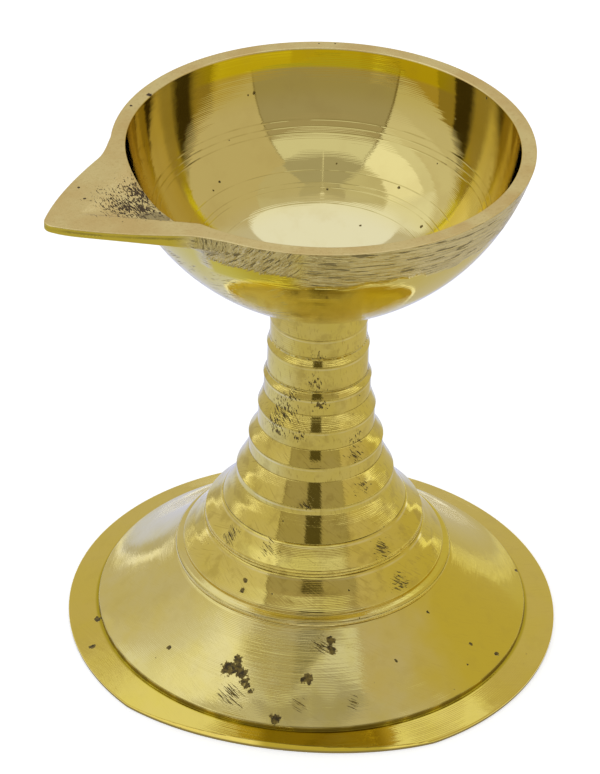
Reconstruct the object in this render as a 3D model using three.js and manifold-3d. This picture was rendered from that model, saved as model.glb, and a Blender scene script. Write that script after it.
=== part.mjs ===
// A small brass oil lamp: a spouted bowl that a threaded stud screws onto a hollow, stepped pedestal.
// Millimetres, +Z up. The lamp's axis is vertical, the spout points along -X, the foot stands on z = 0.

import * as THREE from 'three';
import { mergeVertices } from 'three/addons/utils/BufferGeometryUtils.js';
import Module from 'manifold-3d';

const wasm = await Module();
wasm.setup();

// Foot and skirt of the pedestal
const footRadius = 34.5;
const footEdge = 0.6; // thickness of the flange at its rim
const flangeWidth = 4.3; // from the rim in to the foot of the skirt
const flangeHeight = 1.85; // where the flange meets the skirt
const skirtStep = 0.6; // drop from the skirt onto the flange
const skirtRise = 8.7; // from that step up to the bead
const skirtPull = 6.3; // how far the skirt's curve leaves the bead before it flattens out
const filedDepth = 2.1; // the flange was filed back on one side
const filedBearing = 229.5; // degrees from +X
const filedReach = 38; // degrees to either side of that bearing

// Bead and collar at the foot of the stem
const beadRadius = 19.3;
const beadHeight = 0.95;
const collarRadius = 18.2;
const collarHeight = 0.65;

// Turned rings of the stem, from the collar up. Each stands on a straight bead, where it has one,
// starts with a flared band, which tapers in over its height, and then runs nearly straight up to
// the overhanging edge of the next ring.
const rings = [
  { bead: 0, band: 3.6, taper: 2.88, run: 0.2, edge: 15.2 },
  { bead: 0.95, band: 2.5, taper: 2.35, run: 0.2, edge: 12.7 },
  { bead: 0, band: 3.8, taper: 1.85, run: 0.9, edge: 10.9 },
  { bead: 0, band: 3.3, taper: 1.65, run: 2.2, edge: 9.3 },
  { bead: 0, band: 2.2, taper: 1.25, run: 2.9, edge: 8.1 },
  { bead: 0, band: 2.3, taper: 0.78, run: 2.5, edge: 7.4 },
  { bead: 0, band: 1.25, taper: 0.48, run: 3.75, edge: 7.0 },
  { bead: 0, band: 1.35, taper: 0.4, run: 2.75, edge: 6.7 },
];
const edgeLip = 0.12; // how far each edge stands over the ring below
const neckRadius = 6.55;
const neckRise = 3.6;

// Cored hollow under the pedestal
const mouthInset = 0.8; // from the foot of the skirt in to the hollow's mouth
const skirtWall = 2.1;
const stemWall = 2.3;
const wallDrop = 1.0; // the core's corners lie this far below the ones outside
const coreCrown = 1.5; // height of the core's pointed top
const coreRoof = 4.5; // metal between the core and the stud's hole

// Threaded stud, drawn at its outside diameter
const studRadius = 4.0;
const studReach = 8.0; // length in the pedestal
const studGrip = 1.7; // length in the bowl
const studBevel = 0.5;
const threadClearance = 0.08; // on the radius, in both holes
const studEndGap = 1.0; // the pedestal's hole is this much deeper than the stud's reach

// Bowl
const bowlHeight = 23.0;
const rimRadius = 27.9;
const rimWall = 2.0;
const floorCover = 1.2; // metal left over the stud
const seatOverhang = 0.35; // the bowl's seat is this much wider than the neck
const bellyOut = 11.0; // pull of the outside curve, out from the seat
const bellyUp = 4.95; // and up
const shoulderIn = 3.1; // pull of the outside curve, in from the rim
const shoulderDown = 11.0; // and down
const bellyWall = 0.4; // the inside curve's pull is this far in from the belly's
const shoulderWall = 1.2; // and from the shoulder's
const shoulderLift = 1.5; // and this far above it

// Spout, measured along its own centre line from the lamp's axis
const spoutReach = 41.05;
const noseRadius = 1.6;
const noseHalfAngle = 48; // degrees between the centre line and each side at the nose
const rootReach = 27.6; // where each side starts to curve into the rim
const rootHalfWidth = 11.0;
const rootHalfAngle = 30; // degrees between the centre line and each side at the root
const blendBearing = 36; // degrees from the centre line to where the blend meets the rim
const spoutEdge = 0.55; // thickness along the sides
const keelNose = 1.9; // half width of the rounded underside at the nose
const keelRoot = 12.0; // and at the root
const keelDepth = 0.25; // depth of the underside as a share of its half width
const channelReach = 36.0; // the wick channel dies out here
const channelHalfWidth = 8.1; // where the channel meets the bowl
const channelDepth = 1.95;

// Facets
const aroundTurned = 64;
const aroundSpout = 32;
const alongCurve = 12;
const alongBlend = 4;
const facing = 1.0; // stock above the rim, faced off flat with the spout
const overrun = 5.0; // how far a cutter runs past what it cuts

// Heights and radii worked out from the sizes above
const skirtFoot = flangeHeight + skirtStep;
const beadFoot = skirtFoot + skirtRise;
const beadTop = beadFoot + beadHeight;
const collarTop = beadTop + collarHeight;
const stemTop = rings.reduce((height, ring) => height + ring.bead + ring.band + ring.run, collarTop);
const seatHeight = stemTop + neckRise;
const studTop = seatHeight + studGrip;
const holeFoot = seatHeight - studReach - studEndGap;
const coreTop = holeFoot - coreRoof;
const rimHeight = seatHeight + bowlHeight;
const skirtRadius = footRadius - flangeWidth;
const cavityRadius = rimRadius - rimWall;
const holeRadius = studRadius + threadClearance;

const radians = THREE.MathUtils.degToRad;

// A closed manifold solid from a three.js geometry.
function solid(geometry) {
  geometry.deleteAttribute('normal');
  geometry.deleteAttribute('uv');
  const merged = mergeVertices(geometry);
  const corners = Array.from(merged.index.array);
  const triangles = [];
  for (let i = 0; i < corners.length; i += 3) {
    const [a, b, c] = corners.slice(i, i + 3);
    if (a !== b && b !== c && c !== a) triangles.push(a, b, c);
  }
  return new wasm.Manifold(new wasm.Mesh({
    numProp: 3,
    vertProperties: merged.attributes.position.array,
    triVerts: Uint32Array.from(triangles),
  }));
}

// Turn a profile of [radius, height] points about the lamp's axis. It runs upwards along the outside.
function turned(profile, segments = aroundTurned) {
  const points = profile.map(([radius, height]) => new THREE.Vector2(radius, height));
  return solid(new THREE.LatheGeometry(points, segments).rotateX(Math.PI / 2));
}

// A disc wider than the lamp, from one height to another.
function disc(bottom, top) {
  const wide = 2 * spoutReach;
  return turned([[0, bottom], [wide, bottom], [wide, top], [0, top]]);
}

// Points along a smooth curve from its start to its end, given as [x, y] control points.
function curve(start, pullStart, pullEnd, end) {
  const vectors = [start, pullStart, pullEnd, end].map(([x, y]) => new THREE.Vector2(x, y));
  return new THREE.CubicBezierCurve(...vectors).getPoints(alongCurve).map((p) => [p.x, p.y]);
}

// Where two lines in the plane cross, each given by a point and a direction in degrees.
function crossing([x1, y1], angle1, [x2, y2], angle2) {
  const [c1, s1] = [Math.cos(radians(angle1)), Math.sin(radians(angle1))];
  const [c2, s2] = [Math.cos(radians(angle2)), Math.sin(radians(angle2))];
  const t = ((x2 - x1) * s2 - (y2 - y1) * c2) / (c1 * s2 - s1 * c2);
  return [x1 + t * c1, y1 + t * s1];
}

// Outside of the pedestal from the foot up to the seat.
function pedestalOutside() {
  const skirt = curve(
    [skirtRadius, skirtFoot],
    [skirtRadius - skirtPull / 2, skirtFoot + skirtPull / 4],
    [beadRadius + skirtPull / 2, beadFoot - skirtPull / 2],
    [beadRadius - edgeLip, beadFoot],
  );
  const profile = [
    [footRadius, 0],
    [footRadius, footEdge],
    [skirtRadius, flangeHeight],
    ...skirt,
    [beadRadius, beadFoot],
    [beadRadius, beadTop],
    [collarRadius, beadTop],
    [collarRadius, collarTop],
  ];
  let [radius, height] = [collarRadius, collarTop];
  for (const ring of rings) {
    height += ring.bead;
    if (ring.bead > 0) profile.push([radius, height]);
    profile.push([radius - ring.taper, height + ring.band]);
    height += ring.band + ring.run;
    radius = ring.edge;
    profile.push([radius - edgeLip, height], [radius, height]);
  }
  profile.push([neckRadius, seatHeight]);
  return profile;
}

// Outside of the core that leaves the hollow, from the mouth up to its crown.
function coreOutside() {
  const mouthRadius = skirtRadius - mouthInset;
  const profile = [
    [mouthRadius, -overrun],
    [mouthRadius, 0],
    [beadRadius - skirtWall, beadFoot - wallDrop],
  ];
  const shoulder = coreTop - coreCrown;
  let height = collarTop - wallDrop;
  for (const ring of rings) {
    height += ring.bead + ring.band + ring.run;
    if (height < shoulder) profile.push([ring.edge - stemWall, height]);
  }
  const [lastRadius] = profile[profile.length - 1];
  profile.push([lastRadius - coreCrown / 2, shoulder], [0, coreTop]);
  return profile;
}

// Prism that trims the flange: it dips inside the foot on the filed side and clears it elsewhere.
function filedOutline() {
  const outline = [];
  for (let i = 0; i < aroundTurned; i += 1) {
    const bearing = (360 * i) / aroundTurned;
    const away = Math.min(Math.abs(bearing - filedBearing) / filedReach, 2);
    const radius = footRadius - filedDepth * Math.cos((away * Math.PI) / 2);
    outline.push(new THREE.Vector2(radius * Math.cos(radians(bearing)), radius * Math.sin(radians(bearing))));
  }
  const depth = seatHeight + 2 * overrun;
  const prism = new THREE.ExtrudeGeometry(new THREE.Shape(outline), { depth, bevelEnabled: false });
  return solid(prism.translate(0, 0, -overrun));
}

function makePedestal() {
  const blank = turned([[0, 0], ...pedestalOutside(), [0, seatHeight]]);
  const core = turned([[0, -overrun], ...coreOutside()]);
  const hole = turned([
    [0, holeFoot],
    [holeRadius, holeFoot],
    [holeRadius, seatHeight - studBevel],
    [holeRadius + studBevel + overrun, seatHeight + overrun],
    [0, seatHeight + overrun],
  ]);
  return blank.intersect(filedOutline()).subtract(core).subtract(hole);
}

function makeStud() {
  const foot = seatHeight - studReach;
  const tipRadius = studRadius - studBevel;
  return turned([
    [0, foot],
    [tipRadius, foot],
    [studRadius, foot + studBevel],
    [studRadius, studTop - studBevel],
    [tipRadius, studTop],
    [0, studTop],
  ]);
}

// The bowl's outside, filled, with stock above the rim.
function bowlBlank() {
  const seatRadius = neckRadius + seatOverhang;
  const outside = curve(
    [seatRadius, seatHeight],
    [seatRadius + bellyOut, seatHeight + bellyUp],
    [rimRadius - shoulderIn, rimHeight - shoulderDown],
    [rimRadius, rimHeight],
  );
  const top = rimHeight + facing;
  return turned([[0, seatHeight], ...outside, [rimRadius, top], [0, top]]);
}

function bowlCavity() {
  const floorHeight = studTop + floorCover;
  const inside = curve(
    [0, floorHeight],
    [neckRadius + seatOverhang + bellyOut - bellyWall, floorHeight],
    [rimRadius - shoulderIn - shoulderWall, rimHeight - shoulderDown + shoulderLift],
    [cavityRadius, rimHeight],
  );
  return turned([...inside, [cavityRadius, rimHeight + overrun], [0, rimHeight + overrun]]);
}

// One side of the spout's outline in plan, from the rim round to the nose.
function spoutSide() {
  const onRim = [rimRadius * Math.cos(radians(blendBearing)), rimRadius * Math.sin(radians(blendBearing))];
  const root = [rootReach, rootHalfWidth];
  const noseAngle = radians(noseHalfAngle);
  const noseCentre = spoutReach - noseRadius;
  const nose = [noseCentre + noseRadius * Math.sin(noseAngle), noseRadius * Math.cos(noseAngle)];
  const bend = crossing(onRim, blendBearing - 90, root, -rootHalfAngle);
  const belly = crossing(root, -rootHalfAngle, nose, -noseHalfAngle);
  const quadratic = (...points) => new THREE.QuadraticBezierCurve(
    ...points.map(([x, y]) => new THREE.Vector2(x, y)),
  ).getPoints(alongBlend);
  const tip = new THREE.EllipseCurve(noseCentre, 0, noseRadius, noseRadius, Math.PI / 2 - noseAngle, 0, true);
  return [
    new THREE.Vector2(...onRim),
    ...quadratic(onRim, bend, root).slice(1),
    ...quadratic(root, belly, nose).slice(1),
    ...tip.getPoints(alongBlend).slice(1),
  ];
}

// A flattened cone lying along +X, its axis in the plane of the rim: [reach, half width] at each end.
function lyingCone([reachA, halfA], [reachB, halfB], depthShare) {
  return turned([[0, reachA], [halfA, reachA], [halfB, reachB], [0, reachB]], aroundSpout)
    .rotate([0, 90, 0]).scale([1, 1, depthShare]).translate([0, 0, rimHeight]);
}

// The spout's plan, cut to its rounded underside. It is drawn along +X and turned to -X.
function makeSpout() {
  const side = spoutSide();
  const otherSide = side.slice(0, -1).reverse().map((p) => new THREE.Vector2(p.x, -p.y));
  const plan = new THREE.Shape([...side, ...otherSide]);
  const prism = new THREE.ExtrudeGeometry(plan, { depth: bowlHeight + facing, bevelEnabled: false });
  const slope = (keelRoot - keelNose) / (spoutReach - rootReach);
  const heel = cavityRadius / 2;
  const keel = lyingCone(
    [heel, keelRoot + slope * (rootReach - heel)],
    [spoutReach + overrun, keelNose - slope * overrun],
    keelDepth,
  ).translate([0, 0, -spoutEdge]);
  const underside = keel.add(disc(rimHeight - spoutEdge, rimHeight + facing));
  return solid(prism.translate(0, 0, seatHeight)).intersect(underside).rotate([0, 0, 180]);
}

// Shallow scoop that leads the wick from the bowl out along the spout.
function wickChannel() {
  const slope = channelHalfWidth / (channelReach - cavityRadius);
  const heel = cavityRadius / 2;
  const scoop = lyingCone(
    [heel, slope * (channelReach - heel)],
    [channelReach, 0],
    channelDepth / channelHalfWidth,
  );
  return scoop.rotate([0, 0, 180]);
}

function makeBowl() {
  const hole = turned([
    [0, seatHeight - overrun],
    [holeRadius, seatHeight - overrun],
    [holeRadius, studTop],
    [0, studTop],
  ]);
  return bowlBlank().add(makeSpout()).intersect(disc(seatHeight, rimHeight))
    .subtract(bowlCavity()).subtract(wickChannel()).subtract(hole);
}

// A named mesh in one finish of brass.
function brassMesh(name, shape, color, roughness) {
  const { numProp, vertProperties, triVerts } = shape.getMesh();
  const geometry = new THREE.BufferGeometry();
  geometry.setAttribute('position', new THREE.BufferAttribute(vertProperties, numProp));
  geometry.setIndex(new THREE.BufferAttribute(triVerts, 1));
  geometry.computeVertexNormals();
  const material = new THREE.MeshStandardMaterial({ color, roughness, metalness: 1, flatShading: true });
  const mesh = new THREE.Mesh(geometry, material);
  mesh.name = name;
  return mesh;
}

const lamp = new THREE.Group();
lamp.add(brassMesh('pedestal', makePedestal(), 0xb49a45, 0.28));
lamp.add(brassMesh('stud', makeStud(), 0xa58a3c, 0.4));
lamp.add(brassMesh('bowl', makeBowl(), 0xbfa552, 0.22));
lamp.position.x = (spoutReach - footRadius) / 2; // the foot's box and the spout share one middle

export default lamp;
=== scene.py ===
# A small brass oil lamp: fine turned meshes over the imported frame, brass finishes with some painted reflections,
# highlights and shadow lines, and a white studio.

import math
from bisect import bisect_left

import bmesh
import bpy
from mathutils import Matrix, Quaternion, Vector
from mathutils.geometry import interpolate_bezier


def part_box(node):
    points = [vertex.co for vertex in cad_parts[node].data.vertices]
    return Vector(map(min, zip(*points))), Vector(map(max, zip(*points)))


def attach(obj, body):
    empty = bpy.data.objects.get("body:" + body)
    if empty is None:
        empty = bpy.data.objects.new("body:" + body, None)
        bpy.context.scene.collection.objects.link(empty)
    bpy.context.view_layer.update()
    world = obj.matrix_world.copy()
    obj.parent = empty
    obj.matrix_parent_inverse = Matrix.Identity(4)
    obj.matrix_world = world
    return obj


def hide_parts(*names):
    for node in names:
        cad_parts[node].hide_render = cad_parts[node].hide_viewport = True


mm = 0.001  # the sizes below are in millimetres, Blender's are in metres

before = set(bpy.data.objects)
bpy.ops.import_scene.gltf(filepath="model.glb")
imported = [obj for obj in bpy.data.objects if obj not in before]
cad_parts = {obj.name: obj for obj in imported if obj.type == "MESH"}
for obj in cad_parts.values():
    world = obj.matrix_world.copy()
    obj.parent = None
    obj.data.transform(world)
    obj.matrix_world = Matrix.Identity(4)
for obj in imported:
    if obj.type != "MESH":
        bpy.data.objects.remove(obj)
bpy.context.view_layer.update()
scene = bpy.context.scene

pedestalLow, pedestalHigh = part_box("pedestal")
studLow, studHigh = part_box("stud")
bowlLow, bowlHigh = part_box("bowl")
axisX = (pedestalLow.x + pedestalHigh.x) / 2 / mm  # the lamp's own axis
footRadius = (pedestalHigh.y - pedestalLow.y) / 2 / mm
seatHeight = pedestalHigh.z / mm
rimHeight = bowlHigh.z / mm
rimRadius = bowlHigh.y / mm
spoutReach = axisX - bowlLow.x / mm
studRadius = studHigh.y / mm
print("frame loaded, axis at", round(axisX, 3), "mm")

# Camera

cameraView = {
    "lens": 164.0,
    "away": 400.0,  # level distance from the lamp's axis
    "height": 306.0,
    "bearing": 237.5,  # degrees from +X
    "pitch": 33.867,  # degrees down
    "yaw": 0.335,  # degrees to the left of the axis
    "roll": 1.344,
}


def makeCamera(view):
    bearing = math.radians(view["bearing"])
    heading = bearing + math.pi + math.radians(view["yaw"])
    pitch = math.radians(view["pitch"])
    ahead = Vector((
        math.cos(heading) * math.cos(pitch),
        math.sin(heading) * math.cos(pitch),
        -math.sin(pitch),
    ))
    data = bpy.data.cameras.new("camera")
    data.lens = view["lens"]
    data.sensor_width = 36
    data.clip_start = 0.05
    data.clip_end = 20
    camera = bpy.data.objects.new("camera", data)
    camera.location = Vector((
        axisX + view["away"] * math.cos(bearing),
        view["away"] * math.sin(bearing),
        view["height"],
    )) * mm
    camera.rotation_mode = "QUATERNION"
    camera.rotation_quaternion = ahead.to_track_quat("-Z", "Y") @ Quaternion((0, 0, 1), math.radians(view["roll"]))
    scene.collection.objects.link(camera)
    scene.camera = camera


makeCamera(cameraView)

# Profiles and turning


def softOutline(corners, steps=4):
    # each corner is (radius, height, softness); a soft one is rounded off, with a point to either side
    outline = []
    for index, (radius, height, softness) in enumerate(corners):
        here = Vector((radius, height, 0))
        if not softness:
            outline.append(here)
            continue
        before = (Vector((*corners[index - 1][:2], 0)) - here).normalized() * softness
        after = (Vector((*corners[index + 1][:2], 0)) - here).normalized() * softness
        outline.append(here + before * 1.7)
        outline += interpolate_bezier(here + before, here + before * 0.4, here + after * 0.4, here + after, steps)
        outline.append(here + after * 1.7)
    return [(point.x, point.y) for point in outline]


def curvePoints(start, pullStart, pullEnd, end, count):
    flat = [Vector((*point, 0)) for point in (start, pullStart, pullEnd, end)]
    return [(point.x, point.y) for point in interpolate_bezier(*flat, count)]


def stretched(outline, longest):
    # adds points so that no straight stretch is longer than the given length
    dense = [outline[0]]
    for (r0, z0), (r1, z1) in zip(outline, outline[1:]):
        pieces = max(1, math.ceil(math.hypot(r1 - r0, z1 - z0) / longest))
        dense += [(r0 + (r1 - r0) * i / pieces, z0 + (z1 - z0) * i / pieces) for i in range(1, pieces + 1)]
    return dense


def turn(outline, steps):
    # an eighth is spun, then copied round three times: much quicker than one full spin
    mesh = bmesh.new()
    points = [mesh.verts.new((radius * mm, 0, height * mm)) for radius, height in outline]
    edges = [mesh.edges.new(pair) for pair in zip(points, points[1:])]
    bmesh.ops.spin(
        mesh, geom=points + edges, cent=(0, 0, 0), axis=(0, 0, 1),
        angle=math.pi / 4, steps=steps // 8, use_merge=False, use_duplicate=False,
    )
    for angle in (math.pi / 4, math.pi / 2, math.pi):
        copied = bmesh.ops.duplicate(mesh, geom=mesh.verts[:] + mesh.edges[:] + mesh.faces[:])["geom"]
        moved = [part for part in copied if isinstance(part, bmesh.types.BMVert)]
        bmesh.ops.rotate(mesh, verts=moved, cent=(0, 0, 0), matrix=Matrix.Rotation(angle, 3, "Z"))
    bmesh.ops.remove_doubles(mesh, verts=mesh.verts, dist=1e-7)
    bmesh.ops.recalc_face_normals(mesh, faces=mesh.faces)
    return mesh


def addObject(mesh, name, materials):
    data = bpy.data.meshes.new(name)
    mesh.to_mesh(data)
    mesh.free()
    for material in materials:
        data.materials.append(material)
    piece = bpy.data.objects.new(name, data)
    scene.collection.objects.link(piece)
    return piece


def finishPiece(mesh, name, body, node, materials):
    for face in mesh.faces:
        face.smooth = True
    bmesh.ops.translate(mesh, verts=mesh.verts, vec=(axisX * mm, 0, 0))
    piece = addObject(mesh, name, materials)
    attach(piece, body)
    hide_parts(node)
    print(name, "has", len(piece.data.polygons), "faces")


# Brass finishes, with painted reflections, highlights and shadow lines

finishAndPaintedLight = {
    "stemBrass": (0.80, 0.66, 0.20),
    "skirtBrass": (0.78, 0.67, 0.30),
    "goldenBrass": (0.77, 0.62, 0.08),
    "flangeBrass": (0.77, 0.61, 0.14),
    "liningBrass": (0.81, 0.69, 0.29),
    "floorBrass": (0.82, 0.73, 0.42),
    # painted reflection: a yellower band in the lining from 68 mm up, where the brass reflects itself
    "goldLining": (0.76, 0.63, 0.20),
    "brightBrass": (0.88, 0.77, 0.04),  # band under the rim, painted for a reflection
    "rimBrass": (0.84, 0.71, 0.36),
    "outerBrass": (0.80, 0.68, 0.20),
    # painted highlight below the rings' edges
    "underEdgeHighlight": (0.93, 0.84, 0.48),
    "scuffed": (0.52, 0.40, 0.10),  # duller patches up the stem
    "ledge": (0.52, 0.41, 0.01),  # top of the flange by the skirt, painted for a reflection
    "brownFront": (0.37, 0.26, 0.01),  # front of the flange, painted for a reflection
    "flangeEdge": (0.24, 0.18, 0.05),
    "frontLine": (-0.485, -0.875, 0),  # middle of the painted front, 3.5 degrees from the camera's bearing
    "core": (0.42, 0.31, 0.12),
    "coreShade": (0.24, 0.17, 0.07),
    "liningStain": (0.66, 0.52, 0.20),
    "liningScore": (0.50, 0.40, 0.12),
    "liningLine": (-0.537, -0.843, 0),  # the camera's bearing, opposite to the painted band
    "rimShade": (0.76, 0.58, 0.26),
    "rimBrushed": (0.60, 0.45, 0.16),
    "rimNick": (0.075, 0.045, 0.02),
    "reflectionStripAndFlank": (0.70, 0.56, 0.03),  # painted reflection on the strip under the chatter; the spout's flanks take this tone too
    "filed": (0.80, 0.70, 0.40),
    "filedGroove": (0.50, 0.41, 0.16),
    "threadRoot": (0.30, 0.21, 0.08),
    # dirt in the pits, and the painted shadow lines at the rings' edges
    "dirtAndShade": (0.22, 0.16, 0.03),
    "deepDirt": (0.045, 0.03, 0.006),
}


def put(tree, kind, settings=None, **inputs):
    # adds a shader node; an input is a value or another node's socket, by name or as i0, i1, i2
    node = tree.nodes.new("ShaderNode" + kind)
    for name, value in (settings or {}).items():
        setattr(node, name, value)
    for name, value in inputs.items():
        index = int(name[1:]) if name[0] == "i" and name[1:].isdigit() else name
        if isinstance(value, bpy.types.NodeSocket):
            tree.links.new(value, node.inputs[index])
        else:
            node.inputs[index].default_value = value
    return node


def calc(tree, operation, *values):
    return put(tree, "Math", {"operation": operation}, **{f"i{i}": value for i, value in enumerate(values)}).outputs[0]


def times(tree, first, second):
    return calc(tree, "MULTIPLY", first, second)


def plus(tree, first, second):
    return calc(tree, "ADD", first, second)


def inverse(tree, value):
    return calc(tree, "SUBTRACT", 1.0, value)


def either(tree, first, second):
    return calc(tree, "MAXIMUM", first, second)


def alongLine(tree, place, direction):
    # how far a place lies along a level direction
    return put(tree, "VectorMath", {"operation": "DOT_PRODUCT"}, i0=place, i1=direction).outputs["Value"]


def ramp(tree, value, low, high, start=0.0, end=1.0):
    # a smooth change from start to end while the value goes from low to high
    node = put(tree, "MapRange", {"interpolation_type": "SMOOTHSTEP"}, Value=value)
    for name, number in zip(("From Min", "From Max", "To Min", "To Max"), (low, high, start, end)):
        node.inputs[name].default_value = number
    return node.outputs["Result"]


def blend(tree, share, first, second):
    node = put(tree, "Mix", {"data_type": "RGBA"})
    for index, value in ((0, share), (6, first), (7, second)):
        if isinstance(value, bpy.types.NodeSocket):
            tree.links.new(value, node.inputs[index])
        else:
            node.inputs[index].default_value = value if index == 0 else (*value, 1)
    return node.outputs[2]


def newGroup(name, inputs, outputs):
    group = bpy.data.node_groups.new(name, "ShaderNodeTree")
    for label, kind, value in inputs:
        socket = group.interface.new_socket(name=label, in_out="INPUT", socket_type="NodeSocket" + kind)
        if value is not None:
            socket.default_value = value
    for label, kind in outputs:
        group.interface.new_socket(name=label, in_out="OUTPUT", socket_type="NodeSocket" + kind)
    return group, group.nodes.new("NodeGroupInput").outputs, group.nodes.new("NodeGroupOutput").inputs


def radiusOf(tree, place):
    apart = put(tree, "SeparateXYZ", Vector=place).outputs
    square = plus(tree, times(tree, apart[0], apart[0]), times(tree, apart[1], apart[1]))
    return apart, calc(tree, "SQRT", square)


def makeTurningMarks():
    # fine lines that run round the axis, some loose and some as even as the cutter's feed
    group, given, result = newGroup(
        "turning marks",
        [
            ("Place", "Vector", None), ("Spacing mm", "Float", 0.4), ("Drift", "Float", 1.5),
            ("Lean", "Float", -1.0), ("Evenness", "Float", 0.3),
        ],
        [("Height", "Float")],
    )
    apart, radius = radiusOf(group, given["Place"])
    perMetre = calc(group, "DIVIDE", 1000.0, given["Spacing mm"])
    around = calc(group, "DIVIDE", given["Drift"], either(group, radius, 0.0005))
    place = put(
        group, "CombineXYZ",
        X=times(group, radius, perMetre),
        Y=times(group, apart[2], perMetre),
        Z=times(group, apart[0], around),
    ).outputs[0]
    loose = put(
        group, "TexNoise", {"noise_dimensions": "4D"},
        Vector=place, W=times(group, apart[1], around), Scale=1.0, Detail=2.0, Roughness=0.6,
    ).outputs[0]
    path = times(group, plus(group, apart[2], times(group, radius, given["Lean"])), perMetre)
    wobble = times(group, loose, 0.9)
    wave = calc(group, "SINE", times(group, plus(group, path, wobble), 2 * math.pi))
    patchy = ramp(group, put(group, "TexNoise", Vector=given["Place"], Scale=95.0, Detail=1.0).outputs[0], 0.38, 0.6)
    even = times(group, times(group, wave, given["Evenness"]), patchy)
    group.links.new(plus(group, loose, even), result["Height"])
    return group


def makeCastingPits():
    # scattered small holes left by the casting
    group, given, result = newGroup(
        "casting pits",
        [("Place", "Vector", None), ("Apart mm", "Float", 2.0), ("Share", "Float", 0.3), ("Reach", "Float", 0.12)],
        [("Pits", "Float")],
    )
    wander = put(group, "TexNoise", Vector=given["Place"], Scale=2600.0, Detail=1.0).outputs["Color"]
    moved = put(group, "VectorMath", {"operation": "MULTIPLY_ADD"}, i0=wander, i1=(0.0004,) * 3, i2=given["Place"])
    cells = put(
        group, "TexVoronoi", Vector=moved.outputs[0],
        Scale=calc(group, "DIVIDE", 1000.0, given["Apart mm"]),
    ).outputs
    chance = put(group, "SeparateColor", Color=cells["Color"]).outputs
    size = times(group, given["Reach"], plus(group, 0.4, chance[1]))
    hole = ramp(group, calc(group, "DIVIDE", cells["Distance"], size), 1.0, 0.6)
    chosen = calc(group, "LESS_THAN", chance[0], given["Share"])
    group.links.new(times(group, hole, chosen), result["Pits"])
    return group


def makeLocalMarks():
    # one ragged patch round a given place, cut out of a given noise
    group, given, result = newGroup(
        "local marks",
        [
            ("Place", "Vector", None), ("Noise", "Float", 0.5), ("Middle", "Vector", None),
            ("Reach mm", "Float", 1.0), ("Raggedness", "Float", 4.0), ("Sparseness", "Float", 0.0),
        ],
        [("Patch", "Float")],
    )
    away = put(group, "VectorMath", {"operation": "DISTANCE"}, i0=given["Place"], i1=given["Middle"]).outputs["Value"]
    share = calc(group, "DIVIDE", away, times(group, given["Reach mm"], 0.001))
    uneven = times(group, calc(group, "SUBTRACT", given["Noise"], 0.5), given["Raggedness"])
    total = plus(group, plus(group, share, given["Sparseness"]), uneven)
    near = ramp(group, share, 2.4, 2.0)
    group.links.new(times(group, ramp(group, total, 1.0, 0.72), near), result["Patch"])
    return group


def makeTurnedLine():
    # a turned line that comes and goes, from the distance to the nearest of several
    group, given, result = newGroup(
        "turned line",
        [("Place", "Vector", None), ("Away mm", "Float", 1.0), ("Width mm", "Float", 0.2)],
        [("Line", "Float")],
    )
    shaped = ramp(group, calc(group, "DIVIDE", given["Away mm"], given["Width mm"]), 1.0, 0.0)
    broken = ramp(group, put(group, "TexNoise", Vector=given["Place"], Scale=230.0, Detail=3.0).outputs[0], 0.3, 0.6)
    group.links.new(times(group, shaped, broken), result["Line"])
    return group


def makeFileMarks():
    # file strokes, level or steep, with the dark nicks that they leave
    group, given, result = newGroup(
        "file marks",
        [
            ("Place", "Vector", None), ("Along mm", "Float", 3.0), ("Up mm", "Float", 0.3),
            ("Slant", "Float", 0.0), ("Nicks from", "Float", 0.6),
        ],
        [("Height", "Float"), ("Nicks", "Float")],
    )
    apart, radius = radiusOf(group, given["Place"])
    arc = times(group, calc(group, "ARCTAN2", apart[1], apart[0]), 1000.0)
    arc = times(group, arc, radius)
    high = plus(group, times(group, apart[2], 1000.0), times(group, arc, given["Slant"]))
    place = put(
        group, "CombineXYZ",
        X=calc(group, "DIVIDE", arc, given["Along mm"]), Y=calc(group, "DIVIDE", high, given["Up mm"]),
    ).outputs[0]
    strokes = put(group, "TexNoise", Vector=place, Scale=1.0, Detail=3.0, Roughness=0.65, Distortion=0.25).outputs[0]
    closer = put(group, "VectorMath", {"operation": "MULTIPLY"}, i0=place, i1=(1.5, 1.0, 1.0)).outputs[0]
    nicks = put(group, "TexNoise", Vector=closer, Scale=1.0, Detail=2.0).outputs[0]
    group.links.new(strokes, result["Height"])
    group.links.new(
        ramp(group, calc(group, "SUBTRACT", nicks, given["Nicks from"]), 0.0, 0.07), result["Nicks"],
    )
    return group


turningMarks = makeTurningMarks()
castingPits = makeCastingPits()
localMarks = makeLocalMarks()
turnedLine = makeTurnedLine()
fileMarks = makeFileMarks()


def use(tree, group, **values):
    # places a group; underscores in the names stand for spaces
    node = put(tree, "Group", {"node_tree": group})
    for name, value in values.items():
        socket = node.inputs[name.replace("_", " ")]
        if isinstance(value, bpy.types.NodeSocket):
            tree.links.new(value, socket)
        else:
            socket.default_value = value
    return node.outputs


def newBrass(name):
    # a material with its shader and the place on the piece, measured from the lamp's axis
    material = bpy.data.materials.new(name)
    material.use_nodes = True
    tree = material.node_tree
    shader = tree.nodes["Principled BSDF"]
    shader.inputs["Metallic"].default_value = 1
    coordinates = put(tree, "TexCoord").outputs["Object"]
    place = put(tree, "Mapping", Vector=coordinates, Location=(-axisX * mm, 0, 0)).outputs[0]
    return material, tree, shader, place


def bumps(tree, *layers):
    # each layer is (height, depth in millimetres)
    normal = None
    for height, depth in layers:
        node = put(tree, "Bump", Height=height, Strength=1.0, Distance=depth * mm)
        if normal:
            tree.links.new(normal, node.inputs["Normal"])
        normal = node.outputs[0]
    return normal


def largest(tree, values):
    # each value is joined on as it is made, which keeps long shaders light
    total = 0.0
    for value in values:
        total = either(tree, total, value)
    return total


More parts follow.
